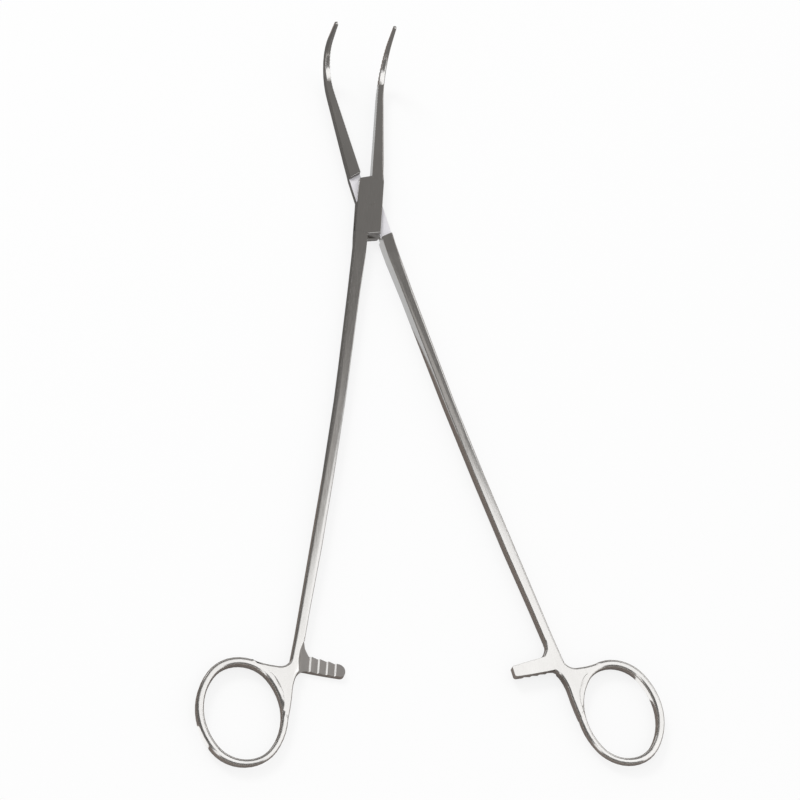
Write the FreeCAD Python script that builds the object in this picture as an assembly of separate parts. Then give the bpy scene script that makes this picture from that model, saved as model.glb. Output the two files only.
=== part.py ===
import FreeCAD, Part

import math
import os
from dataclasses import dataclass

# Right angle clamp: two halves that cross in a box lock, and the pin they turn on.
# Millimetres. X runs across, Y towards the jaws, Z up from the surface the clamp lies on.
# The origin is on the pin's axis, level with the lowest face of the lock.
# Each half is drawn closed, with its jaw at +X and its shank at -X, then turned open.

V = FreeCAD.Vector
UP = V(0, 0, 1)

# How far each half is turned from closed, in degrees, as the clamp lies open
OPEN_HALF_ANGLE = 9.3

# Running gaps
MEETING_GAP = 0.05
SLOT_GAP = 0.06
TONGUE_END_GAP = 0.28
PIN_RUNNING_GAP = 0.04

# Box lock
LOCK_THICK = 4.8
LOCK_HALF_WIDTH = 4.1
TONGUE_THICK = 1.8
LOCK_TOP_MIDDLE = 10.3
LOCK_TOP_SIDE = 8.45
LOCK_BOTTOM_MIDDLE = -13.1
LOCK_BOTTOM_SIDE = -11.75
SLOT_TOP_MIDDLE = 10.15
SLOT_TOP_SIDE = 8.5
SLOT_BOTTOM_MIDDLE = -12.9
SLOT_BOTTOM_SIDE = -11.6
LOCK_EDGE_BEVEL = 0.35
JAW_SHOULDER_MIDDLE = 11.9
JAW_SHOULDER_SIDE = 10.0
SHANK_SHOULDER_MIDDLE = -14.3
SHANK_SHOULDER_SIDE = -12.8

# Pivot pin, pressed into the box half and flush with both faces
PIN_RADIUS = 1.6
PIN_EDGE_BEVEL = 0.12

# Jaw: straight out of the lock, bent up square to the rings, then a slight sweep to the tip
JAW_BEND_START = 44.9
JAW_BEND_RADIUS = 12.8
JAW_BEND_ANGLE = 86.0
JAW_SWEEP_RADIUS = 27.0
JAW_SWEEP_ANGLE = 6.3
JAW_TIP_LENGTH = 7.1
SERRATION_START = 25.0
SERRATION_PITCH = 1.3
SERRATION_DEPTH = 0.16
SERRATION_WIDTH = 0.7

# Shape of a section's corners: an arc, or flat like a bevel
ROUND_CORNER = 1.0
BEVEL_CORNER = 0.0
CORNER_STEPS = 3

# Ratchet bars, with their outer edges on arcs about the pin
BAR_TIP_X = 2.6
BAR_ROOT_X = -11.6
BAR_SPLIT = -0.45
BAR_FACE_GAP = 0.06
BAR_UNDERSIDE = -2.3
MILLED_RADIUS = 15.0
MILLED_CENTRE_X = 3.6
MILLED_CENTRE_Y = -167.4
TOOTH_COUNT = 4
TOOTH_PITCH = 2.45
TOOTH_DEPTH = 0.62
TOOTH_SLANT = 0.42
TOOTH_FIRST_X = 0.0

# Finger ring and the web that joins it to the shank
HANDLE_THICK = 3.3
RING_CENTRE_X = -25.7
RING_CENTRE_Y = -186.0
RING_TILT = 8.2
RING_HALF_WIDTH = 12.0
RING_HALF_LENGTH = 15.55
RING_END_RADIUS = 10.3
RING_THIN_AT = -55.0
RING_STEPS = 12
WEB_ROUND = 0.85

# Outline of the web as x and y: lone corners, and arcs as start, middle and end
WEB_SHANK_OUTER = (-12.5, -160.5)
WEB_NOTCH = ((-13.35, -167.2), (-14.55, -169.55), (-17.4, -170.45))
WEB_RING_TOP = ((-17.4, -170.45), (-20.8, -170.35), (-24.6, -169.6))
WEB_HOLE_TOP = ((-23.4, -171.9), (-20.1, -172.9), (-17.3, -174.9))
WEB_HOLE_SIDE = ((-17.3, -174.9), (-15.15, -179.2), (-14.72, -184.2))
WEB_NECK_SIDE = ((-12.8, -186.3), (-12.38, -181.8), (-12.25, -177.0))
WEB_NECK_TURN = ((-12.25, -177.0), (-12.05, -174.8), (-11.5, -172.6))
WEB_BAR_LOWER = ((-11.5, -172.6), (-10.45, -170.8), (-8.6, -169.8))
WEB_BAR_UPPER = ((-7.0, -165.75), (-8.5, -164.3), (-9.45, -162.8))
WEB_SHANK_INNER = (-10.1, -159.5)


@dataclass(frozen=True)
class Station:
    """One cross section of a jaw, a shank or the finger ring's band.

    Attributes:
        at: Distance along the half, Y in the shank and along the path in the jaw.
        outer: Distance of the outer side from the closing plane.
        inner: Distance of the inner side from the closing plane.
        thick: Thickness.
        outer_round: Corner radius at the outer side.
        inner_round: Corner radius at the inner side.
        corner: Shape of the corners, from BEVEL_CORNER to ROUND_CORNER.
        rise: Height of the middle of the thickness above the mid plane of the clamp.
    """

    at: float
    outer: float
    inner: float
    thick: float
    outer_round: float
    inner_round: float
    corner: float = ROUND_CORNER
    rise: float = 0.0


@dataclass(frozen=True)
class BarShape:
    """The ratchet bar of one half.

    Attributes:
        root_y: Y of its inner edge at the root.
        tip_y: Y of its inner edge at the free end.
        outer_radius: Radius of its outer edge about the pin.
        low: Height of its underside.
        high: Height of its upper face.
        inner_round: Corner radius at the free end, on the inner edge.
        outer_round: Corner radius at the free end, on the outer edge.
    """

    root_y: float
    tip_y: float
    outer_radius: float
    low: float
    high: float
    inner_round: float
    outer_round: float


LOWER_BAR = BarShape(-164.5, -166.4, 169.95, BAR_UNDERSIDE, HANDLE_THICK / 2, 2.1, 1.4)
UPPER_BAR = BarShape(-165.2, -167.15, 170.5, -HANDLE_THICK / 2, HANDLE_THICK / 2, 0.4, 0.7)


def lock_station(at):
    """A section as wide and thick as the lock, with its bevelled outer edges."""
    return Station(
        at=at,
        outer=LOCK_HALF_WIDTH,
        inner=MEETING_GAP,
        thick=LOCK_THICK,
        outer_round=LOCK_EDGE_BEVEL,
        inner_round=0.1,
        corner=BEVEL_CORNER,
    )


BOX_JAW_ROOT = lock_station(at=8.8)
TONGUE_JAW_ROOT = lock_station(at=5.0)
JAW_NECK_START = Station(13.5, 3.97, MEETING_GAP, thick=4.15, outer_round=1.5, inner_round=0.15, rise=0.18)
JAW_NECK_END = Station(18.0, 3.83, MEETING_GAP, thick=3.95, outer_round=1.5, inner_round=0.15, rise=0.25)
JAW_BEND = Station(44.9, 2.3, MEETING_GAP, thick=3.5, outer_round=1.1, inner_round=0.15, rise=0.3)
JAW_TURNED = Station(0.0, outer=1.50, inner=MEETING_GAP, thick=2.1, outer_round=0.65, inner_round=0.15)
JAW_SWEPT = Station(0.0, outer=1.38, inner=MEETING_GAP, thick=1.85, outer_round=0.6, inner_round=0.15)
JAW_TIP = Station(0.0, outer=1.12, inner=MEETING_GAP, thick=1.3, outer_round=0.45, inner_round=0.12)

RING_FULL = Station(0.0, outer=2.3, inner=0.0, thick=HANDLE_THICK, outer_round=1.05, inner_round=1.05)
RING_THIN = Station(0.0, outer=1.85, inner=0.0, thick=2.4, outer_round=0.9, inner_round=0.9)

BOX_SHANK_ROOT = lock_station(at=-12.5)
TONGUE_SHANK_ROOT = lock_station(at=-8.0)
SHANK_STATIONS = (
    Station(-17.0, outer=4.12, inner=MEETING_GAP, thick=4.7, outer_round=1.2, inner_round=0.4),
    Station(-22.0, outer=4.28, inner=0.15, thick=4.6, outer_round=1.3, inner_round=0.6),
    Station(-36.0, outer=4.78, inner=1.05, thick=4.35, outer_round=1.4, inner_round=0.7),
    Station(-60.0, outer=5.72, inner=2.30, thick=4.1, outer_round=1.3, inner_round=0.7),
    Station(-77.0, outer=6.50, inner=3.15, thick=3.9, outer_round=1.2, inner_round=0.7),
    Station(-104.0, outer=8.28, inner=5.00, thick=3.7, outer_round=1.1, inner_round=0.7),
    Station(-130.0, outer=10.30, inner=7.05, thick=3.5, outer_round=1.0, inner_round=0.7),
    Station(-150.0, outer=12.00, inner=9.00, thick=3.35, outer_round=0.9, inner_round=0.7),
    Station(-160.0, outer=12.80, inner=9.85, thick=HANDLE_THICK, outer_round=0.9, inner_round=0.7),
    Station(-168.0, outer=13.60, inner=10.9, thick=HANDLE_THICK, outer_round=0.9, inner_round=0.7),
)


def polygon_face(points):
    """A flat face inside a closed run of straight lines.

    Args:
        points: Corner points in order, without repeating the first.

    Returns:
        The planar face.
    """
    return Part.Face(Part.makePolygon(list(points) + [points[0]]))


def prism(points, low, high):
    """A plate with a straight sided outline.

    Args:
        points: Outline corners at z = 0.
        low: Height of its lower face.
        high: Height of its upper face.

    Returns:
        The solid.
    """
    face = polygon_face(points)
    face.translate(V(0, 0, low))
    return face.extrude(V(0, 0, high - low))


def rounded_section(origin, across, normal, station):
    """A rectangle with eased corners, square to the path of a jaw, shank or ring.

    Args:
        origin: Point of the path in the closing plane.
        across: Unit direction from the closing plane to the outer side.
        normal: Unit direction through the thickness.
        station: Sizes of the section.

    Returns:
        The closed wire, with a few straight pieces at each corner.
    """
    low = station.rise - station.thick / 2
    high = station.rise + station.thick / 2
    corners = (
        (station.inner + station.inner_round, low + station.inner_round, station.inner_round, 180),
        (station.outer - station.outer_round, low + station.outer_round, station.outer_round, 270),
        (station.outer - station.outer_round, high - station.outer_round, station.outer_round, 360),
        (station.inner + station.inner_round, high - station.inner_round, station.inner_round, 90),
    )
    points = []
    for x, z, radius, start in corners:
        for step in range(CORNER_STEPS + 1):
            share = step / CORNER_STEPS
            first, turn, last = (math.radians(start + 90 * k) for k in (0, share, 1))
            flat_x = math.cos(first) * (1 - share) + math.cos(last) * share
            flat_z = math.sin(first) * (1 - share) + math.sin(last) * share
            unit_x = flat_x + (math.cos(turn) - flat_x) * station.corner
            unit_z = flat_z + (math.sin(turn) - flat_z) * station.corner
            points.append(origin + across * (x + radius * unit_x) + normal * (z + radius * unit_z))
    return Part.makePolygon(points + [points[0]])


def blended(first, second, share):
    """A section between two others.

    Args:
        first: Section at share 0.
        second: Section at share 1.
        share: Place between them.

    Returns:
        The section with sizes in proportion.
    """
    def mix(name):
        start = getattr(first, name)
        return start + (getattr(second, name) - start) * share

    return Station(
        at=mix("at"),
        outer=mix("outer"),
        inner=mix("inner"),
        thick=mix("thick"),
        outer_round=mix("outer_round"),
        inner_round=mix("inner_round"),
        corner=mix("corner"),
        rise=mix("rise"),
    )


def scaled(station, scale):
    """A section shrunk about its own middle, to round off the jaw's tip.

    Args:
        station: The full section.
        scale: Share of the full size.

    Returns:
        The smaller section.
    """
    middle = (station.outer + station.inner) / 2
    half = (station.outer - station.inner) / 2 * scale
    return Station(
        at=station.at,
        outer=middle + half,
        inner=middle - half,
        thick=station.thick * scale,
        outer_round=station.outer_round * scale,
        inner_round=station.inner_round * scale,
        corner=station.corner,
        rise=station.rise,
    )


BEND_LENGTH = JAW_BEND_RADIUS * math.radians(JAW_BEND_ANGLE)
SWEEP_LENGTH = JAW_SWEEP_RADIUS * math.radians(JAW_SWEEP_ANGLE)
JAW_END = BEND_LENGTH + SWEEP_LENGTH + JAW_TIP_LENGTH


def jaw_path(distance):
    """A place on the jaw's path, measured from the start of the bend.

    Args:
        distance: Distance past the start of the bend, negative on the straight part.

    Returns:
        The point, the unit direction of the path and the unit direction through the jaw.
    """
    in_bend = min(max(distance, 0.0), BEND_LENGTH) / JAW_BEND_RADIUS
    in_sweep = min(max(distance - BEND_LENGTH, 0.0), SWEEP_LENGTH) / JAW_SWEEP_RADIUS
    turned = in_bend + in_sweep
    y = JAW_BEND_START + min(distance, 0.0)
    y += JAW_BEND_RADIUS * math.sin(in_bend)
    y += JAW_SWEEP_RADIUS * (math.sin(turned) - math.sin(in_bend))
    z = JAW_BEND_RADIUS * (1 - math.cos(in_bend))
    z += JAW_SWEEP_RADIUS * (math.cos(in_bend) - math.cos(turned))
    along = V(0, math.cos(turned), math.sin(turned))
    through = V(0, -math.sin(turned), math.cos(turned))
    beyond = max(distance - BEND_LENGTH - SWEEP_LENGTH, 0.0)
    return V(0, y, z) + along * beyond, along, through


def jaw_section(station, distance):
    """The jaw's outline at one place on its path.

    Args:
        station: Sizes there.
        distance: Distance past the start of the bend.

    Returns:
        The closed wire.
    """
    point, _, through = jaw_path(distance)
    return rounded_section(point, V(1, 0, 0), through, station)


def curved_run(first, second, start, length, steps):
    """A stretch of the jaw along a curved part of its path.

    Args:
        first: Section at its start.
        second: Section at its end.
        start: Distance of its start past the start of the bend.
        length: Its length.
        steps: Number of sections after the first.

    Returns:
        The solid.
    """
    sections = []
    for step in range(steps + 1):
        share = step / steps
        sections.append(jaw_section(blended(first, second, share), start + length * share))
    return Part.makeLoft(sections, True, True)


def make_jaw(root):
    """One jaw: straight run, bend, sweep and the tip with its rounded end.

    Args:
        root: Section where it leaves the lock.

    Returns:
        The solid with serrations across its grasping face.
    """
    run = (root, JAW_NECK_START, JAW_NECK_END, JAW_BEND)
    straight = Part.makeLoft([jaw_section(s, s.at - JAW_BEND_START) for s in run], True, True)
    sweep_end = jaw_section(JAW_SWEPT, BEND_LENGTH + SWEEP_LENGTH)
    bend = curved_run(JAW_BEND, JAW_TURNED, 0.0, BEND_LENGTH, 8)
    sweep = curved_run(JAW_TURNED, JAW_SWEPT, BEND_LENGTH, SWEEP_LENGTH, 4)
    tip_sections = [sweep_end, jaw_section(JAW_TIP, JAW_END)]
    cap_length = (JAW_TIP.outer - JAW_TIP.inner) / 2
    for degrees in (30, 55, 75):
        turn = math.radians(degrees)
        place = JAW_END + cap_length * math.sin(turn)
        tip_sections.append(jaw_section(scaled(JAW_TIP, math.cos(turn)), place))
    tip = Part.makeLoft(tip_sections, True, True)
    jaw = straight.fuse([bend, sweep, tip])
    return jaw.cut(make_serrations())


def make_serrations():
    """The grooves across the grasping face.

    Returns:
        A list of wedges to cut away.
    """
    wedges = []
    first = SERRATION_START - JAW_BEND_START
    count = int((JAW_END - first) / SERRATION_PITCH)
    above = V(MEETING_GAP - 0.05, 0, 0)
    bottom = V(MEETING_GAP + SERRATION_DEPTH, 0, 0)
    half_width = SERRATION_WIDTH / 2 * (SERRATION_DEPTH + 0.05) / SERRATION_DEPTH
    for index in range(count):
        point, along, through = jaw_path(first + index * SERRATION_PITCH)
        start = point - through * JAW_BEND.thick
        corners = (
            start + above - along * half_width,
            start + above + along * half_width,
            start + bottom,
        )
        wedges.append(polygon_face(corners).extrude(through * JAW_BEND.thick * 2))
    return wedges


def make_shank(root):
    """One shank, from the lock to the finger ring's web.

    Args:
        root: Section where it leaves the lock.

    Returns:
        The solid, with its outer side at -X.
    """
    run = (root,) + SHANK_STATIONS
    sections = [rounded_section(V(0, s.at, 0), V(-1, 0, 0), UP, s) for s in run]
    return Part.makeLoft(sections, True, True)


def ring_arc(centre, radius, start, end):
    """One arc of the finger ring's band, which is thinnest at RING_THIN_AT.

    Args:
        centre: Centre of the arc in the ring's own frame.
        radius: Radius of the side of the band that faces the hole.
        start: Start angle in degrees.
        end: End angle in degrees.

    Returns:
        The solid.
    """
    sections = []
    for step in range(RING_STEPS + 1):
        angle = start + (end - start) * step / RING_STEPS
        turn = math.radians(angle)
        thin = ((1 + math.cos(turn - math.radians(RING_THIN_AT))) / 2) ** 3
        across = V(math.cos(turn), math.sin(turn), 0)
        band = blended(RING_FULL, RING_THIN, thin)
        sections.append(rounded_section(centre + across * radius, across, UP, band))
    return Part.makeLoft(sections, True, True)


def make_ring():
    """The finger ring: an oval of four arcs, two at the ends and two at the sides.

    Returns:
        The solid in its place beside the shank.
    """
    half_width = RING_HALF_WIDTH - RING_FULL.outer / 2
    end_radius = RING_END_RADIUS - RING_FULL.outer / 2
    end_offset = RING_HALF_LENGTH - RING_END_RADIUS
    spare = half_width - end_radius
    side_radius = (half_width**2 + end_offset**2 - end_radius**2) / (2 * spare)
    side_offset = side_radius - half_width
    side_angle = math.degrees(math.atan2(end_offset, side_offset))
    arcs = (
        ring_arc(V(0, end_offset, 0), end_radius, side_angle, 180 - side_angle),
        ring_arc(V(0, -end_offset, 0), end_radius, 180 + side_angle, 360 - side_angle),
        ring_arc(V(-side_offset, 0, 0), side_radius, -side_angle, side_angle),
        ring_arc(V(side_offset, 0, 0), side_radius, 180 - side_angle, 180 + side_angle),
    )
    ring = arcs[0].fuse(list(arcs[1:]))
    ring.rotate(V(0, 0, 0), UP, RING_TILT)
    ring.translate(V(RING_CENTRE_X, RING_CENTRE_Y, 0))
    return ring


def curve(first, middle, last):
    """An arc through three points given as x and y."""
    return Part.Arc(V(*first, 0), V(*middle, 0), V(*last, 0)).toShape()


def line(first, last):
    """A straight edge between two points given as x and y."""
    return Part.makeLine(V(*first, 0), V(*last, 0))


def bend_points(first, middle, last, count):
    """Points along an arc through three points, without the last.

    Args:
        first: Start of the arc as x and y.
        middle: A point on it.
        last: Its end.
        count: Number of straight pieces.

    Returns:
        The points as a list.
    """
    return curve(first, middle, last).discretize(Number=count + 1)[:-1]


def rounded_plate(points, thickness, edge_round):
    """A plate about the mid plane with its long edges rounded.

    Args:
        points: Outline in counter-clockwise order.
        thickness: Its thickness.
        edge_round: Radius of the rounding.

    Returns:
        The solid.
    """
    inward = []
    for index, point in enumerate(points):
        before = point - points[index - 1]
        after = points[(index + 1) % len(points)] - point
        first = V(-before.y, before.x, 0).normalize()
        second = V(-after.y, after.x, 0).normalize()
        inward.append((first + second) / (1 + first.dot(second)))
    half = thickness / 2
    turns = [math.radians(90 * step / CORNER_STEPS) for step in range(CORNER_STEPS + 1)]
    upper = [(half - edge_round * (1 - math.sin(t)), edge_round * (1 - math.cos(t))) for t in turns]
    lower = [(-height, inset) for height, inset in reversed(upper)]
    wires = []
    for height, inset in lower + upper:
        ring = [p + n * inset + V(0, 0, height) for p, n in zip(points, inward)]
        wires.append(Part.makePolygon(ring + [ring[0]]))
    return Part.makeLoft(wires, True, True)


def make_web():
    """The flat web where the shank opens out into the finger ring.

    Returns:
        The solid, its long edges rounded.
    """
    outline = (
        [V(*WEB_SHANK_OUTER, 0)]
        + bend_points(*WEB_NOTCH, 7)
        + bend_points(*WEB_RING_TOP, 4)
        + [V(*WEB_RING_TOP[-1], 0)]
        + bend_points(*WEB_HOLE_TOP, 5)
        + bend_points(*WEB_HOLE_SIDE, 5)
        + [V(*WEB_HOLE_SIDE[-1], 0)]
        + bend_points(*WEB_NECK_SIDE, 3)
        + bend_points(*WEB_NECK_TURN, 3)
        + bend_points(*WEB_BAR_LOWER, 6)
        + [V(*WEB_BAR_LOWER[-1], 0)]
        + bend_points(*WEB_BAR_UPPER, 5)
        + [V(*WEB_BAR_UPPER[-1], 0), V(*WEB_SHANK_INNER, 0)]
    )
    return rounded_plate(outline, HANDLE_THICK, WEB_ROUND)


def make_bar(bar):
    """A ratchet bar blank, its outer edge on an arc about the pin.

    Args:
        bar: Its shape.

    Returns:
        The solid.
    """
    def outer_at(x):
        return (x, -math.sqrt(bar.outer_radius**2 - x**2))

    root = (BAR_ROOT_X, bar.root_y)
    tip = (BAR_TIP_X, bar.tip_y)
    outline = (
        line(root, tip),
        line(tip, outer_at(BAR_TIP_X)),
        curve(outer_at(BAR_TIP_X), outer_at((BAR_ROOT_X + BAR_TIP_X) / 2), outer_at(BAR_ROOT_X)),
        line(outer_at(BAR_ROOT_X), root),
    )
    face = Part.Face(Part.Wire(outline))
    face.translate(V(0, 0, bar.low))
    blank = face.extrude(V(0, 0, bar.high - bar.low))
    for y, radius in ((bar.tip_y, bar.inner_round), (outer_at(BAR_TIP_X)[1], bar.outer_round)):
        corner = [
            edge
            for edge in blank.Edges
            if edge.BoundBox.ZLength > 1
            and abs(edge.CenterOfMass.x - BAR_TIP_X) < 0.01
            and abs(edge.CenterOfMass.y - y) < 0.01
        ]
        blank = blank.makeFillet(radius, corner)
    return blank


def make_teeth_cut():
    """What is milled off the bar above its toothed face, with the notches between the teeth.

    Returns:
        The solid to cut away, its flat face at z = 0.
    """
    centre = V(MILLED_CENTRE_X, MILLED_CENTRE_Y, 0)
    milled = Part.makeCylinder(MILLED_RADIUS, HANDLE_THICK, centre)
    far = -LOWER_BAR.outer_radius - 2.0
    reach = far - LOWER_BAR.root_y - 4.0
    notches = []
    for index in range(TOOTH_COUNT):
        steep_x = TOOTH_FIRST_X - index * TOOTH_PITCH
        ramp_x = steep_x - TOOTH_PITCH * 0.98
        corners = (
            V(steep_x - TOOTH_SLANT, far, -TOOTH_DEPTH),
            V(steep_x, far, 0),
            V(steep_x, far, 0.2),
            V(ramp_x, far, 0.2),
            V(ramp_x, far, 0),
        )
        notches.append(polygon_face(corners).extrude(V(0, -reach, 0)))
    return milled.fuse(notches)


def make_handle(root, upper_bar):
    """Shank, web, finger ring and ratchet bar of one half.

    Args:
        root: Section where the shank leaves the lock.
        upper_bar: True where the bar lies above the other and its teeth face down.

    Returns:
        The solid, with the ring at -X.
    """
    bar = UPPER_BAR if upper_bar else LOWER_BAR
    blank = make_web().fuse([make_bar(bar), make_ring(), make_shank(root)])
    milled = make_teeth_cut()
    if upper_bar:
        milled.rotate(V(0, 0, 0), V(0, 1, 0), 180)
        milled = milled.mirror(V(0, 0, 0), V(1, 0, 0))
        milled.translate(V(0, 0, BAR_SPLIT + BAR_FACE_GAP))
    else:
        milled.translate(V(0, 0, BAR_SPLIT - BAR_FACE_GAP))
    return blank.cut(milled)


def make_lock_block():
    """The box half's lock before the slot is cut, with its long edges bevelled.

    Returns:
        The solid.
    """
    side = LOCK_HALF_WIDTH
    top = BOX_JAW_ROOT.at + 0.3
    bottom = BOX_SHANK_ROOT.at - 0.3
    outline = (
        V(-side, LOCK_TOP_SIDE, 0),
        V(-side, bottom, 0),
        V(-MEETING_GAP, LOCK_BOTTOM_MIDDLE, 0),
        V(side, LOCK_BOTTOM_SIDE, 0),
        V(side, top, 0),
        V(MEETING_GAP, LOCK_TOP_MIDDLE, 0),
    )
    block = prism(outline, -LOCK_THICK / 2, LOCK_THICK / 2)
    long_edges = []
    for edge in block.Edges:
        level = edge.BoundBox.ZLength < 0.01
        at_side = abs(abs(edge.CenterOfMass.x) - side) < 0.01
        if level and at_side:
            long_edges.append(edge)
    return block.makeChamfer(LOCK_EDGE_BEVEL, long_edges)


def make_box_half():
    """The half whose lock is a box: two plates with a slot between them.

    Returns:
        The solid, closed, about its own mid plane.
    """
    handle = make_handle(BOX_SHANK_ROOT, upper_bar=False)
    half = make_lock_block().fuse([make_jaw(BOX_JAW_ROOT), handle])
    side = LOCK_HALF_WIDTH
    reach = 4 * side
    top_slope = (SLOT_TOP_SIDE - SLOT_TOP_MIDDLE) / side
    bottom_slope = (SLOT_BOTTOM_MIDDLE - SLOT_BOTTOM_SIDE) / side
    relief = 3 * MEETING_GAP
    slot_points = (
        V(relief, SLOT_TOP_MIDDLE, 0),
        V(reach, SLOT_TOP_MIDDLE + top_slope * reach, 0),
        V(reach, LOCK_BOTTOM_MIDDLE - reach, 0),
        V(0, LOCK_BOTTOM_MIDDLE - reach, 0),
        V(0, LOCK_BOTTOM_MIDDLE - relief, 0),
        V(-relief, LOCK_BOTTOM_MIDDLE - relief, 0),
        V(-relief, SLOT_BOTTOM_MIDDLE, 0),
        V(-reach, SLOT_BOTTOM_MIDDLE - bottom_slope * reach, 0),
        V(-reach, LOCK_TOP_MIDDLE + reach, 0),
        V(0, LOCK_TOP_MIDDLE + reach, 0),
        V(0, LOCK_TOP_MIDDLE + relief, 0),
        V(relief, LOCK_TOP_MIDDLE + relief, 0),
    )
    slot_half = TONGUE_THICK / 2 + SLOT_GAP
    slot = prism(slot_points, -slot_half, slot_half)
    hole = Part.makeCylinder(PIN_RADIUS, 2 * LOCK_THICK, V(0, 0, -LOCK_THICK))
    return half.cut([slot, hole])


def make_tongue():
    """The thin tongue that passes through the slot.

    Returns:
        The solid, reaching into the jaw at +X and the shank at -X.
    """
    side = LOCK_HALF_WIDTH
    gap = TONGUE_END_GAP
    outline = (
        V(-side, SLOT_TOP_SIDE - gap, 0),
        V(-MEETING_GAP, SLOT_TOP_MIDDLE - gap, 0),
        V(MEETING_GAP, JAW_SHOULDER_MIDDLE + 0.6, 0),
        V(side - LOCK_EDGE_BEVEL, JAW_SHOULDER_SIDE + 1.5, 0),
        V(side, JAW_SHOULDER_SIDE, 0),
        V(side, SLOT_BOTTOM_SIDE + gap, 0),
        V(MEETING_GAP, SLOT_BOTTOM_MIDDLE + gap, 0),
        V(-MEETING_GAP, SHANK_SHOULDER_MIDDLE - 0.4, 0),
        V(LOCK_EDGE_BEVEL - side, SHANK_SHOULDER_SIDE - 1.2, 0),
        V(-side, SHANK_SHOULDER_SIDE, 0),
    )
    return prism(outline, -TONGUE_THICK / 2, TONGUE_THICK / 2)


def make_tongue_half():
    """The half whose lock is a thin tongue between two shoulders.

    Returns:
        The solid, closed, with its jaw at +X like the other half.
    """
    side = LOCK_HALF_WIDTH
    reach = 3 * side
    jaw_slope = (JAW_SHOULDER_MIDDLE - JAW_SHOULDER_SIDE) / side
    shank_slope = (SHANK_SHOULDER_MIDDLE - SHANK_SHOULDER_SIDE) / side
    jaw_trim = (
        V(-1, JAW_SHOULDER_MIDDLE + jaw_slope, 0),
        V(reach, JAW_SHOULDER_MIDDLE - jaw_slope * reach, 0),
        V(reach, -reach, 0),
        V(-1, -reach, 0),
    )
    shank_trim = (
        V(1, SHANK_SHOULDER_MIDDLE + shank_slope, 0),
        V(-reach, SHANK_SHOULDER_MIDDLE - shank_slope * reach, 0),
        V(-reach, reach, 0),
        V(1, reach, 0),
    )
    jaw = make_jaw(TONGUE_JAW_ROOT).cut(prism(jaw_trim, -LOCK_THICK, LOCK_THICK))
    handle = make_handle(TONGUE_SHANK_ROOT, upper_bar=True)
    handle = handle.cut(prism(shank_trim, -LOCK_THICK, LOCK_THICK))
    hole_radius = PIN_RADIUS + PIN_RUNNING_GAP
    hole = Part.makeCylinder(hole_radius, 2 * LOCK_THICK, V(0, 0, -LOCK_THICK))
    return make_tongue().fuse([jaw, handle]).cut(hole)


def make_pin():
    """The pivot pin, as long as the lock is thick.

    Returns:
        The solid.
    """
    pin = Part.makeCylinder(PIN_RADIUS, LOCK_THICK, V(0, 0, -LOCK_THICK / 2))
    rims = [edge for edge in pin.Edges if edge.BoundBox.ZLength < 0.01]
    return pin.makeChamfer(PIN_EDGE_BEVEL, rims)


def main():
    """Builds the three pieces, opens the halves and writes one file for each piece."""
    lift = V(0, 0, LOCK_THICK / 2)
    box_half = make_box_half()
    box_half.rotate(V(0, 0, 0), UP, -OPEN_HALF_ANGLE)
    tongue_half = make_tongue_half().mirror(V(0, 0, 0), V(1, 0, 0))
    tongue_half.rotate(V(0, 0, 0), UP, OPEN_HALF_ANGLE)
    pieces = {
        "box_half": box_half,
        "tongue_half": tongue_half,
        "pivot_pin": make_pin(),
    }
    os.makedirs("parts", exist_ok=True)
    for name, shape in pieces.items():
        shape.translate(lift)
        solids = shape.Solids
        piece = solids[0] if len(solids) == 1 else shape
        box = piece.BoundBox
        print(name, len(solids), "solid", piece.isValid(), round(piece.Volume, 1), "mm3")
        print("  x", round(box.XMin, 1), round(box.XMax, 1), "y", round(box.YMin, 1), round(box.YMax, 1))
        print("  z", round(box.ZMin, 2), round(box.ZMax, 2))
        piece.exportStep("parts/" + name + ".step")


if __name__ == "__main__":
    main()
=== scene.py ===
import logging
import math
from dataclasses import dataclass, replace
from enum import Enum
from typing import Iterable

import bmesh
import bpy
from mathutils import Matrix, Vector


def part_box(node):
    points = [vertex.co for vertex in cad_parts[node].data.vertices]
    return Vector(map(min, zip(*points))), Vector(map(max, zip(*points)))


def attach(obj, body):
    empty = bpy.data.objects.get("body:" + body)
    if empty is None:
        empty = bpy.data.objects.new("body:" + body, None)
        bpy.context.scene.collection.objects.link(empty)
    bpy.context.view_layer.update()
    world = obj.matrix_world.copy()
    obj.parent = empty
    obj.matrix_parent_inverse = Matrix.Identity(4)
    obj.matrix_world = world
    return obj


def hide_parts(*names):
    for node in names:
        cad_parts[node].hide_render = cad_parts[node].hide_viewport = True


# Right angle clamp, lying open on its back on a white table, tips up.
# Metres, in the frame of the clamp: X across, Y towards the jaws, Z up along the pivot pin.

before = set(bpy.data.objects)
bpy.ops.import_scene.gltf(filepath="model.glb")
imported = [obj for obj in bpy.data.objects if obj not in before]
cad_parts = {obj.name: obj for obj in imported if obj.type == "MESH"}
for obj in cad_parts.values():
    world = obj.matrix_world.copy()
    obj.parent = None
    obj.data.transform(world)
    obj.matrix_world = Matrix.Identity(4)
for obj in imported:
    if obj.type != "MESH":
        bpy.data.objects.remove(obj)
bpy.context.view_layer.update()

log = logging.getLogger("right_angle_clamp")

Triple = tuple[float, float, float]

# How far each half is turned from closed as the clamp lies open
OPEN_HALF_ANGLE = math.radians(9.3)

# Camera, found from the two mirrored halves in the photograph
CAMERA_PLACE = Vector((-0.1913, -0.4721, 0.6111))
CAMERA_RIGHT = Vector((0.9659, -0.1110, 0.2340))
CAMERA_UP = Vector((-0.0340, 0.8415, 0.5392))
CAMERA_LENS_MM = 110.9
CAMERA_SENSOR_MM = 36.0
CAMERA_CLIP_START = 0.01
CAMERA_CLIP_END = 50.0

# Points nearer to each other than this are one point
MERGE_DISTANCE = 1e-6

# An upright face's normal rises less than this
UPRIGHT = 0.3

# A face looks along a direction where its normal has more than this along it
LOOKS_ALONG = 0.8

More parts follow.
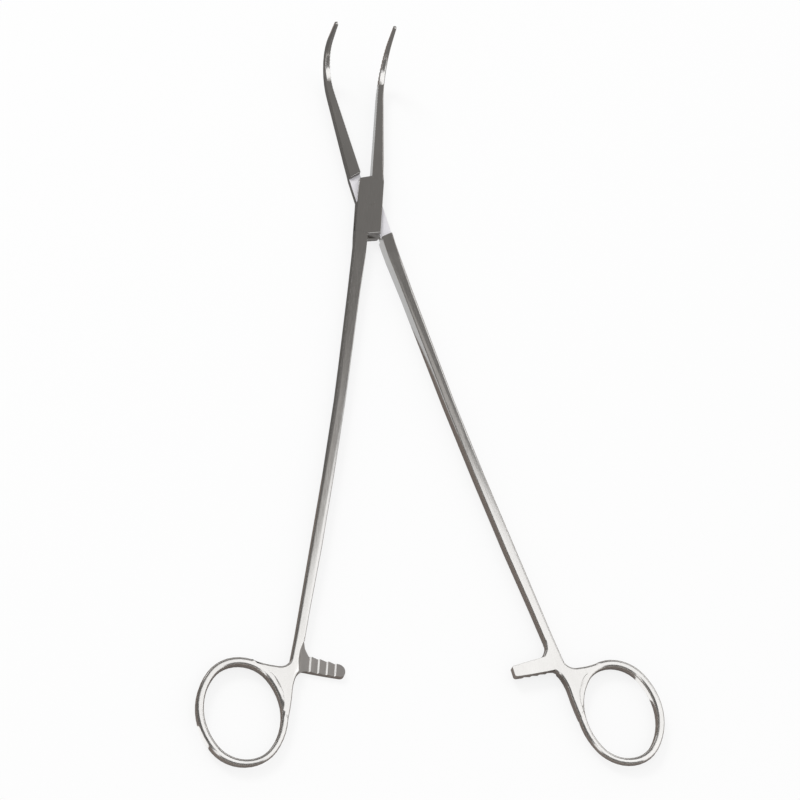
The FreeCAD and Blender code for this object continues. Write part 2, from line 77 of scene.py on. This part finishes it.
# A level face's normal rises more than this
LEVEL = 0.95

# Middle part of the noise, which the finishes spread over their own ranges
NOISE_LOW = 0.3
NOISE_HIGH = 0.7

# Dull patches per metre across, along and through a half
CLOUD_SCALE = (90.0, 26.0, 90.0)

WHITE = (1.0, 1.0, 1.0)


class Side(Enum):
    """Which way a half is turned from closed: the sign of its turn about the pin."""

    BOX = -1
    TONGUE = 1


class Slot(Enum):
    """Material slots of a half, in order."""

    SATIN = 0
    GROUND = 1
    # Milled steel, with painted shade in its dark colour
    MILLED_AND_SHADE = 2
    # Tooth steel, with painted highlight in its near-white colour
    TOOTH = 3


class Wiring:
    """Adds and links the nodes of one material or world.

    Args:
        tree: The node tree to fill. Its nodes are cleared first.
    """

    def __init__(self, tree: bpy.types.NodeTree) -> None:
        self.tree = tree
        tree.nodes.clear()

    def add(self, kind: str, **settings: object) -> bpy.types.Node:
        """Adds a node.

        Args:
            kind: Blender's name for the node's type.
            settings: Properties of the node, or values for its inputs by socket name.

        Returns:
            The node.
        """
        node = self.tree.nodes.new(kind)
        for name, value in settings.items():
            if hasattr(node, name):
                setattr(node, name, value)
            else:
                node.inputs[name.replace("_", " ")].default_value = value
        return node

    def link(self, start: bpy.types.NodeSocket, end: bpy.types.NodeSocket) -> None:
        """Joins an output to an input."""
        self.tree.links.new(start, end)

    def lines(self, turn: float, scale: Triple, detail: float) -> bpy.types.NodeSocket:
        """Noise drawn out along the half, like the marks that a polishing belt leaves.

        Args:
            turn: How far the half is turned about the pin.
            scale: Marks per metre across, along and through the half.
            detail: Noise detail.

        Returns:
            The noise value.
        """
        place = self.add("ShaderNodeTexCoord")
        align = self.add("ShaderNodeMapping", vector_type="TEXTURE")
        align.inputs["Rotation"].default_value = (0.0, 0.0, turn)
        stretch = self.add("ShaderNodeMapping")
        stretch.inputs["Scale"].default_value = scale
        noise = self.add("ShaderNodeTexNoise", Scale=1.0, Detail=detail, Roughness=0.6)
        self.link(place.outputs["Object"], align.inputs["Vector"])
        self.link(align.outputs["Vector"], stretch.inputs["Vector"])
        self.link(stretch.outputs["Vector"], noise.inputs["Vector"])
        return noise.outputs["Fac"]

    def spread(self, value: bpy.types.NodeSocket, low: float, high: float) -> bpy.types.NodeSocket:
        """Maps the middle of a noise value to a range.

        Args:
            value: The noise.
            low: Result at NOISE_LOW.
            high: Result at NOISE_HIGH.

        Returns:
            The result.
        """
        node = self.add("ShaderNodeMapRange", To_Min=low, To_Max=high)
        node.inputs["From Min"].default_value = NOISE_LOW
        node.inputs["From Max"].default_value = NOISE_HIGH
        self.link(value, node.inputs["Value"])
        return node.outputs["Result"]


@dataclass(frozen=True)
class SteelFinish:
    """A finish of stainless steel.

    Attributes:
        name: Name of the material.
        bright: Colour of the polished metal.
        dull: Colour where the polish is thinner.
        smooth: Lowest roughness.
        rough: Highest roughness.
        mark_scale: Polishing marks per metre across, along and through the half.
        mark_depth: Depth of the marks, in metres.
        edge_round: Radius at which sharp edges catch the light, in metres.
        mirror: Share of metal in the surface; the rest is matt.
        streak: How far the marks lighten and darken the colour, as a share of it.
    """

    name: str
    bright: Triple
    dull: Triple
    smooth: float
    rough: float
    mark_scale: Triple
    mark_depth: float
    edge_round: float
    mirror: float = 1.0
    streak: float = 0.06

    def material(self, side: Side) -> bpy.types.Material:
        """Makes the material, its marks running along one half.

        Args:
            side: The half that it is for.

        Returns:
            The material.
        """
        made = bpy.data.materials.new(f"{self.name}_{side.name.lower()}")
        made.use_nodes = True
        wiring = Wiring(made.node_tree)
        turn = side.value * OPEN_HALF_ANGLE
        out = wiring.add("ShaderNodeOutputMaterial")
        metal = wiring.add("ShaderNodeBsdfPrincipled", Metallic=self.mirror)
        marks = wiring.lines(turn, self.mark_scale, detail=4.0)
        clouds = wiring.lines(turn, CLOUD_SCALE, detail=3.0)

        tone = wiring.add("ShaderNodeMix", data_type="RGBA")
        tone.inputs["A"].default_value = (*self.dull, 1.0)
        tone.inputs["B"].default_value = (*self.bright, 1.0)
        wiring.link(wiring.spread(clouds, 0.0, 1.0), tone.inputs["Factor"])
        streaks = wiring.add("ShaderNodeMix", data_type="RGBA", blend_type="MULTIPLY")
        streaks.inputs["Factor"].default_value = 1.0
        wiring.link(tone.outputs["Result"], streaks.inputs["A"])
        wiring.link(wiring.spread(marks, 1.0 - self.streak, 1.0), streaks.inputs["B"])
        wiring.link(streaks.outputs["Result"], metal.inputs["Base Color"])
        wiring.link(wiring.spread(marks, self.smooth, self.rough), metal.inputs["Roughness"])

        edges = wiring.add("ShaderNodeBevel", samples=4, Radius=self.edge_round)
        bump = wiring.add("ShaderNodeBump", Strength=0.5, Distance=self.mark_depth)
        wiring.link(marks, bump.inputs["Height"])
        wiring.link(edges.outputs["Normal"], bump.inputs["Normal"])
        wiring.link(bump.outputs["Normal"], metal.inputs["Normal"])
        wiring.link(metal.outputs["BSDF"], out.inputs["Surface"])
        return made


SATIN_STEEL = SteelFinish(
    name="satin_steel",
    bright=(0.98, 0.965, 0.945),
    dull=(0.87, 0.855, 0.835),
    smooth=0.14,
    rough=0.25,
    mark_scale=(3100.0, 240.0, 3100.0),
    mark_depth=0.000004,
    edge_round=0.00022,
)

GROUND_STEEL = SteelFinish(
    name="ground_steel",
    bright=(0.92, 0.905, 0.945),
    dull=(0.86, 0.845, 0.88),
    smooth=0.45,
    rough=0.58,
    mark_scale=(500.0, 2200.0, 900.0),
    mark_depth=0.000006,
    edge_round=0.0001,
    mirror=0.30,
    streak=0.05,
)

# Milled steel for the lock's end walls and the ratchet bars' flat faces: the milling gives its marks and
# roughness, and its dark colour is painted shade.
MILLED_STEEL_AND_PAINTED_SHADE = SteelFinish(
    name="milled_steel_painted_shade",
    bright=(0.40, 0.38, 0.365),
    dull=(0.30, 0.285, 0.27),
    smooth=0.42,
    rough=0.55,
    mark_scale=(3400.0, 260.0, 900.0),
    mark_depth=0.000010,
    edge_round=0.00005,
)

# Steel for the teeth's steep sides: matt cut faces, with painted highlight in the near-white colour that
# makes them pale lines
TOOTH_STEEL_AND_PAINTED_HIGHLIGHT = SteelFinish(
    name="tooth_steel_painted_highlight",
    bright=(0.97, 0.96, 0.945),
    dull=(0.93, 0.92, 0.90),
    smooth=0.30,
    rough=0.40,
    mark_scale=(900.0, 2600.0, 900.0),
    mark_depth=0.000002,
    edge_round=0.00003,
    mirror=0.25,
    streak=0.04,
)

PIN_STEEL = replace(SATIN_STEEL, name="pin_steel", edge_round=0.00001)


def merged_copy(node: str) -> bmesh.types.BMesh:
    """A CAD node's surface as one connected mesh.

    Args:
        node: The CAD node.

    Returns:
        A bmesh, owned by the caller.
    """
    mesh = bmesh.new()
    mesh.from_mesh(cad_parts[node].data)
    bmesh.ops.remove_doubles(mesh, verts=mesh.verts, dist=MERGE_DISTANCE)
    return mesh


def add_piece(
    mesh: bmesh.types.BMesh,
    name: str,
    materials: Iterable[bpy.types.Material],
) -> bpy.types.Object:
    """Turns a bmesh into an object of the scene.

    Args:
        mesh: The bmesh, freed here.
        name: Name of the piece.
        materials: Its material slots, in order.

    Returns:
        The object.
    """
    data = bpy.data.meshes.new(name)
    mesh.to_mesh(data)
    mesh.free()
    for material in materials:
        data.materials.append(material)
    piece = bpy.data.objects.new(name, data)
    bpy.context.scene.collection.objects.link(piece)
    return piece


@dataclass
class ClampHalf:
    """One forged half of the clamp, dressed over its CAD node.

    Attributes:
        node: CAD node that it stands for.
        body: CAD body that it rides on.
        side: Which way it is turned from closed.
        smooth_angle: Edges flatter than this are shaded smooth.
        flat_angle: Faces that meet at less than this are joined into one.
        shading_weight: How far the larger faces rule the shading, of 100.
        lock_reach: Half the length of the lock region, in metres.
        tongue_middle: Height of the tongue's mid plane, in metres.
        tongue_reach: Distance from that plane within which the tongue's faces lie, in metres.
        bar_reach: Distance from the pin beyond which the ratchet bars lie, in metres.
        bar_half_width: Half the width of the ratchet bars about the closing plane, in metres.
        bar_face_low: Height above which the bars' milled faces, darkened with painted shade, lie, in
            metres.
        bar_face_high: Height below which they lie, in metres.
        handle_top: Height of the upper face of the handles, in metres.
        handle_bottom: Height of their lower face, in metres.
        crease_height: Least height of a crease to fill above the mid plane, in metres.
        crease_angle: Least angle of a crease to fill.
        end_height: Least height of the end edges that are broken, in metres.
        end_length: Least length of such an edge, in metres.
        end_bevel: Width of the bevel at the lock's ends, in metres.
    """

    node: str
    body: str
    side: Side
    smooth_angle: float = math.radians(48.0)
    flat_angle: float = math.radians(0.4)
    shading_weight: int = 60
    lock_reach: float = 0.0165
    tongue_middle: float = 0.0024
    tongue_reach: float = 0.00095
    bar_reach: float = 0.160
    bar_half_width: float = 0.0125
    bar_face_low: float = 0.0008
    bar_face_high: float = 0.0035
    handle_top: float = 0.00405
    handle_bottom: float = 0.00075
    crease_height: float = 0.00119
    crease_angle: float = math.radians(14.5)
    end_height: float = 0.0045
    end_length: float = 0.002
    end_bevel: float = 0.0003

    def straight(self, place: Vector) -> Vector:
        """A place or direction as it is with the clamp closed."""
        return Matrix.Rotation(-self.side.value * OPEN_HALF_ANGLE, 3, "Z") @ place

    def finish_of(self, face: bmesh.types.BMFace) -> Slot:
        """Chooses a face's material slot.

        Args:
            face: The face.

        Returns:
            Milled steel darkened with painted shade at the lock's end walls and on the ratchet bars,
            ground on the tongue, near-white tooth steel with painted highlight on the teeth's steep
            sides, and satin elsewhere.
        """
        centre = face.calc_center_median()
        place = self.straight(centre)
        rise = abs(face.normal.z)
        in_lock = abs(place.y) < self.lock_reach
        # Lock's end walls: milled steel, with painted shade in their dark colour
        if in_lock and rise < UPRIGHT and abs(self.straight(face.normal).y) > LOOKS_ALONG:
            return Slot.MILLED_AND_SHADE
        at_tongue = self.side is Side.TONGUE and abs(centre.z - self.tongue_middle) < self.tongue_reach
        if in_lock and rise > LEVEL and at_tongue:
            return Slot.GROUND
        # Ratchet bars: flat faces milled with painted shade, steep tooth sides near-white with painted
        # highlight
        at_bar = place.y < -self.bar_reach and abs(place.x) < self.bar_half_width
        if at_bar and self.bar_face_low < centre.z < self.bar_face_high:
            if rise > LOOKS_ALONG:
                return Slot.MILLED_AND_SHADE
            if rise > UPRIGHT:
                return Slot.TOOTH
        return Slot.SATIN

    def fill_creases(self, mesh: bmesh.types.BMesh) -> int:
        """Lifts the shallow creases where the finger ring runs into its web.

        Args:
            mesh: The half's surface, changed in place.

        Returns:
            Number of points moved.
        """
        middle = (self.handle_top + self.handle_bottom) / 2
        found = set()
        for edge in mesh.edges:
            if len(edge.link_faces) != 2:
                continue
            at_web = max(corner.co.y for corner in edge.verts) < -self.bar_reach
            shallow = min(abs(corner.co.z - middle) for corner in edge.verts) > self.crease_height
            if at_web and shallow and edge.calc_face_angle_signed() < -self.crease_angle:
                found.update(edge.verts)
        for corner in found:
            corner.co.z = self.handle_top if corner.co.z > middle else self.handle_bottom
        return len(found)

    def bevel_ends(self, mesh: bmesh.types.BMesh) -> None:
        """Breaks the upper edges of the lock's walls that face the finger rings.

        Args:
            mesh: The half's surface, changed in place.
        """
        sharp = []
        for edge in mesh.edges:
            if len(edge.link_faces) != 2 or edge.calc_length() < self.end_length:
                continue
            if any(corner.co.z < self.end_height for corner in edge.verts):
                continue
            at_end = all(abs(self.straight(corner.co).y) < self.lock_reach for corner in edge.verts)
            if at_end and min(self.straight(face.normal).y for face in edge.link_faces) < -LOOKS_ALONG:
                sharp.append(edge)
        log.info("%s: %d end edges broken", self.node, len(sharp))
        bmesh.ops.bevel(
            mesh,
            geom=sharp,
            offset=self.end_bevel,
            offset_type="OFFSET",
            segments=1,
            profile=0.5,
            affect="EDGES",
            material=-1,
        )

    def build(self) -> bpy.types.Object:
        """Builds the half and puts it on its body.

        Returns:
            The dressed piece.
        """
        mesh = merged_copy(self.node)
        lifted = self.fill_creases(mesh)
        bmesh.ops.dissolve_limit(mesh, angle_limit=self.flat_angle, verts=mesh.verts, edges=mesh.edges)
        self.bevel_ends(mesh)
        mesh.normal_update()
        log.info("%s: %d faces, %d crease points lifted", self.node, len(mesh.faces), lifted)
        for face in mesh.faces:
            face.smooth = True
            face.material_index = self.finish_of(face).value
        for edge in mesh.edges:
            edge.smooth = len(edge.link_faces) == 2 and edge.calc_face_angle() < self.smooth_angle
        finishes = (SATIN_STEEL, GROUND_STEEL, MILLED_STEEL_AND_PAINTED_SHADE, TOOTH_STEEL_AND_PAINTED_HIGHLIGHT)
        materials = [finish.material(self.side) for finish in finishes]
        piece = add_piece(mesh, f"{self.node}_dressed", materials)
        weights = piece.modifiers.new("even_shading", "WEIGHTED_NORMAL")
        weights.keep_sharp = True
        weights.weight = self.shading_weight
        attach(piece, self.body)
        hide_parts(self.node)
        log.info("%s rides on %s", piece.name, self.body)
        return piece


@dataclass
class PivotPin:
    """The pin, its ends ground flush with the box and all but lost in its polish.

    Attributes:
        node: CAD node that it stands for.
        body: CAD body that it rides on.
        facets: Number of flat sides.
    """

    node: str = "pivot_pin"
    body: str = "box_side"
    facets: int = 64

    def build(self) -> bpy.types.Object:
        """Builds the pin and puts it on its body.

        Returns:
            The dressed piece.
        """
        low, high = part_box(self.node)
        mesh = bmesh.new()
        middle = Matrix.Translation((low + high) / 2)
        radius = (high.x - low.x) / 2
        bmesh.ops.create_cone(
            mesh,
            cap_ends=True,
            segments=self.facets,
            radius1=radius,
            radius2=radius,
            depth=high.z - low.z,
            matrix=middle,
        )
        for face in mesh.faces:
            face.smooth = abs(face.normal.z) < UPRIGHT
        piece = add_piece(mesh, f"{self.node}_dressed", [PIN_STEEL.material(Side.BOX)])
        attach(piece, self.body)
        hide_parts(self.node)
        log.info("%s rides on %s", piece.name, self.body)
        return piece


@dataclass(frozen=True)
class Card:
    """A flat card near the clamp, which only the metal mirrors.

    Attributes:
        name: Name of the card.
        corners: Its corners in metres, in order round its edge.
        colour: Its colour.
        strength: Its brightness.
    """

    name: str
    corners: tuple[Triple, ...]
    colour: Triple
    strength: float

    def build(self) -> None:
        """Builds the card as one glowing face."""
        mesh = bmesh.new()
        mesh.faces.new([mesh.verts.new(corner) for corner in self.corners])
        material = bpy.data.materials.new(self.name)
        material.use_nodes = True
        wiring = Wiring(material.node_tree)
        out = wiring.add("ShaderNodeOutputMaterial")
        glow = wiring.add("ShaderNodeEmission", Color=(*self.colour, 1.0), Strength=self.strength)
        wiring.link(glow.outputs["Emission"], out.inputs["Surface"])
        card = add_piece(mesh, self.name, [material])
        card.visible_camera = False
        card.visible_diffuse = False
        card.visible_shadow = False


def lying(height: float, *outline: tuple[float, float]) -> tuple[Triple, ...]:
    """Corners of a level card, from its outline as seen from above."""
    return tuple((x, y, height) for x, y in outline)


def standing(
    start: tuple[float, float],
    end: tuple[float, float],
    low: float,
    high: float,
) -> tuple[Triple, ...]:
    """Corners of an upright card, from the two ends of its foot and its heights."""
    return ((*start, low), (*end, low), (*end, high), (*start, high))


DARK_ROOM = (1.0, 0.965, 0.93)

# Above and behind the lock: dark in the jaws, the lock and the upper shanks
LID = Card(
    name="lid",
    corners=lying(
        0.25,
        (0.60, 0.12),
        (0.116, 0.050),
        (0.035, 0.004),
        (-0.50, 0.004),
        (-0.50, 1.60),
        (0.60, 1.60),
    ),
    colour=DARK_ROOM,
    strength=0.16,
)

# Under the lid's front edge: the slow change from dark to pale along the left shank
LID_FRONT = Card(
    name="lid_front",
    corners=lying(0.249, (-0.10, 0.010), (0.076, 0.010), (0.076, 0.100), (-0.10, 0.100)),
    colour=DARK_ROOM,
    strength=0.34,
)

# Close over the lock and jaws: dark under the lock, in the upturned ends and in the outer corners
SHADE = Card(
    name="shade",
    corners=lying(0.0051, (-0.012, -0.020), (0.030, -0.020), (0.030, 0.055), (-0.012, 0.055)),
    colour=DARK_ROOM,
    strength=0.16,
)

# Between the jaws and between the upper shanks: pale in the left sides that face it
PATCH = Card(
    name="patch",
    corners=lying(
        0.0003,
        (-0.0139, -0.085),
        (0.0139, -0.085),
        (0.0030, 0.000),
        (0.0085, 0.052),
        (-0.0085, 0.052),
        (-0.0010, 0.000),
    ),
    colour=(0.98, 0.99, 1.0),
    strength=0.5,
)

# Left of the left jaw, the lock and the left upper shank: grey in their left sides
JAW_SHADE = Card(
    name="jaw_shade",
    corners=lying(
        0.0002,
        (-0.0450, -0.100),
        (-0.0165, -0.100),
        (-0.0010, 0.000),
        (-0.0085, 0.052),
        (-0.0085, 0.070),
        (-0.0450, 0.070),
    ),
    colour=DARK_ROOM,
    strength=0.12,
)

# Left of the clamp: dark in the left corners of the shanks and rings
LEFT = Card(
    name="left",
    corners=standing((-1.2, -0.7), (-1.2, 1.6), low=0.0, high=2.2),
    colour=DARK_ROOM,
    strength=0.12,
)

# In front of the clamp, past the camera: dark in the walls that face it
FRONT = Card(
    name="front",
    corners=standing((-1.6, -1.6), (1.6, -1.6), low=0.05, high=1.65),
    colour=DARK_ROOM,
    strength=0.15,
)

# Beside the lower ratchet bar: white lines on its teeth
TOOTH_LIGHT = Card(
    name="tooth_light",
    corners=standing((-0.0390, -0.1675), (-0.0360, -0.1580), low=0.0026, high=0.0075),
    colour=WHITE,
    strength=1.3,
)

# Close in front of two edges of the lock: a pale line along each
SHOULDER_LINE = Card(
    name="shoulder_line",
    corners=standing((-0.00531, 0.00884), (-0.00169, 0.01129), low=0.0046, high=0.00509),
    colour=WHITE,
    strength=1.7,
)
END_LINE = Card(
    name="end_line",
    corners=standing((-0.00209, -0.01341), (0.00223, -0.01275), low=0.0046, high=0.00509),
    colour=WHITE,
    strength=0.7,
)

# On the table beside the rings: a white flash on each ring's wall
LEFT_FLASH = Card(
    name="left_flash",
    corners=lying(
        0.0002,
        (-0.0652, -0.1822),
        (-0.0617, -0.1887),
        (-0.0820, -0.1935),
        (-0.0850, -0.1850),
    ),
    colour=WHITE,
    strength=1.0,
)
RIGHT_FLASH = Card(
    name="right_flash",
    corners=lying(
        0.0002,
        (0.0650, -0.1667),
        (0.0683, -0.1725),
        (0.0620, -0.1763),
        (0.0585, -0.1703),
    ),
    colour=WHITE,
    strength=1.0,
)
CARDS = (
    LID,
    LID_FRONT,
    SHADE,
    PATCH,
    JAW_SHADE,
    LEFT,
    FRONT,
    TOOTH_LIGHT,
    SHOULDER_LINE,
    END_LINE,
    LEFT_FLASH,
    RIGHT_FLASH,
)


@dataclass
class Studio:
    """White table, pale surroundings, soft light and the cards.

    Attributes:
        table_size: Side of the table, in metres.
        sky: Brightness of the pale surroundings.
        table_glow: Share of even white in what the camera sees of the table.
        table_paint: Brightness of the table's paint to the camera.
        table_mirrored: Colour of the table as the metal mirrors it.
        table_roughness: Roughness of the table as the metal mirrors it.
        key_power: Power of the soft lamp behind the clamp on the left, in watts.
        key_size: Width of that lamp, in metres.
        key_place: Its place, in metres.
    """

    table_size: float = 6.0
    sky: float = 1.0
    table_glow: float = 0.8
    table_paint: float = 0.75
    table_mirrored: Triple = (0.17, 0.145, 0.13)
    table_roughness: float = 0.25
    key_power: float = 16.0
    key_size: float = 0.7
    key_place: Triple = (-0.9, 1.2, 1.5)

    def table(self) -> None:
        """Adds the table: white to the camera, dark and half glossy where the metal mirrors it."""
        mesh = bmesh.new()
        bmesh.ops.create_grid(mesh, x_segments=1, y_segments=1, size=self.table_size / 2)
        material = bpy.data.materials.new("white_table")
        material.use_nodes = True
        wiring = Wiring(material.node_tree)
        out = wiring.add("ShaderNodeOutputMaterial")
        rays = wiring.add("ShaderNodeLightPath")
        dark = wiring.add("ShaderNodeBsdfPrincipled", Roughness=self.table_roughness)
        dark.inputs["Base Color"].default_value = (*self.table_mirrored, 1.0)
        paint = wiring.add("ShaderNodeBsdfDiffuse")
        paint.inputs["Color"].default_value = (*[self.table_paint] * 3, 1.0)
        glow = wiring.add("ShaderNodeEmission", Color=(*WHITE, 1.0), Strength=1.0)
        white = wiring.add("ShaderNodeMixShader", Fac=self.table_glow)
        blend = wiring.add("ShaderNodeMixShader")
        wiring.link(paint.outputs["BSDF"], white.inputs[1])
        wiring.link(glow.outputs["Emission"], white.inputs[2])
        wiring.link(rays.outputs["Is Camera Ray"], blend.inputs["Fac"])
        wiring.link(dark.outputs["BSDF"], blend.inputs[1])
        wiring.link(white.outputs["Shader"], blend.inputs[2])
        wiring.link(blend.outputs["Shader"], out.inputs["Surface"])
        add_piece(mesh, "table", [material])

    def key_lamp(self) -> None:
        """Adds the soft lamp whose shadows fall towards the camera."""
        data = bpy.data.lights.new("key_lamp", "AREA")
        data.shape = "DISK"
        data.size = self.key_size
        data.energy = self.key_power
        lamp = bpy.data.objects.new("key_lamp", data)
        place = Vector(self.key_place)
        lamp.matrix_world = Matrix.Translation(place) @ place.to_track_quat("Z", "Y").to_matrix().to_4x4()
        lamp.visible_glossy = False
        bpy.context.scene.collection.objects.link(lamp)

    def world(self) -> None:
        """Fills the surroundings with even pale light."""
        made = bpy.data.worlds.new("pale_room")
        made.use_nodes = True
        wiring = Wiring(made.node_tree)
        out = wiring.add("ShaderNodeOutputWorld")
        air = wiring.add("ShaderNodeBackground", Color=(*WHITE, 1.0), Strength=self.sky)
        wiring.link(air.outputs["Background"], out.inputs["Surface"])
        bpy.context.scene.world = made

    def camera(self) -> None:
        """Places the camera as the photograph has it."""
        data = bpy.data.cameras.new("camera")
        data.lens = CAMERA_LENS_MM
        data.sensor_width = CAMERA_SENSOR_MM
        data.clip_start = CAMERA_CLIP_START
        data.clip_end = CAMERA_CLIP_END
        camera = bpy.data.objects.new("camera", data)
        backwards = CAMERA_RIGHT.cross(CAMERA_UP)
        turned = Matrix((CAMERA_RIGHT, CAMERA_UP, backwards)).transposed()
        camera.matrix_world = Matrix.Translation(CAMERA_PLACE) @ turned.to_4x4()
        bpy.context.scene.collection.objects.link(camera)
        bpy.context.scene.camera = camera

    def build(self) -> None:
        """Builds the whole studio."""
        bpy.context.scene.view_settings.view_transform = "Standard"
        self.camera()
        self.table()
        self.key_lamp()
        self.world()
        for card in CARDS:
            card.build()


def main() -> None:
    """Builds the clamp and its studio."""
    logging.basicConfig(level=logging.INFO, format="%(message)s")
    Studio().build()
    ClampHalf("box_half", "box_side", Side.BOX).build()
    ClampHalf("tongue_half", "tongue_side", Side.TONGUE).build()
    PivotPin().build()


if __name__ == "__main__":
    main()
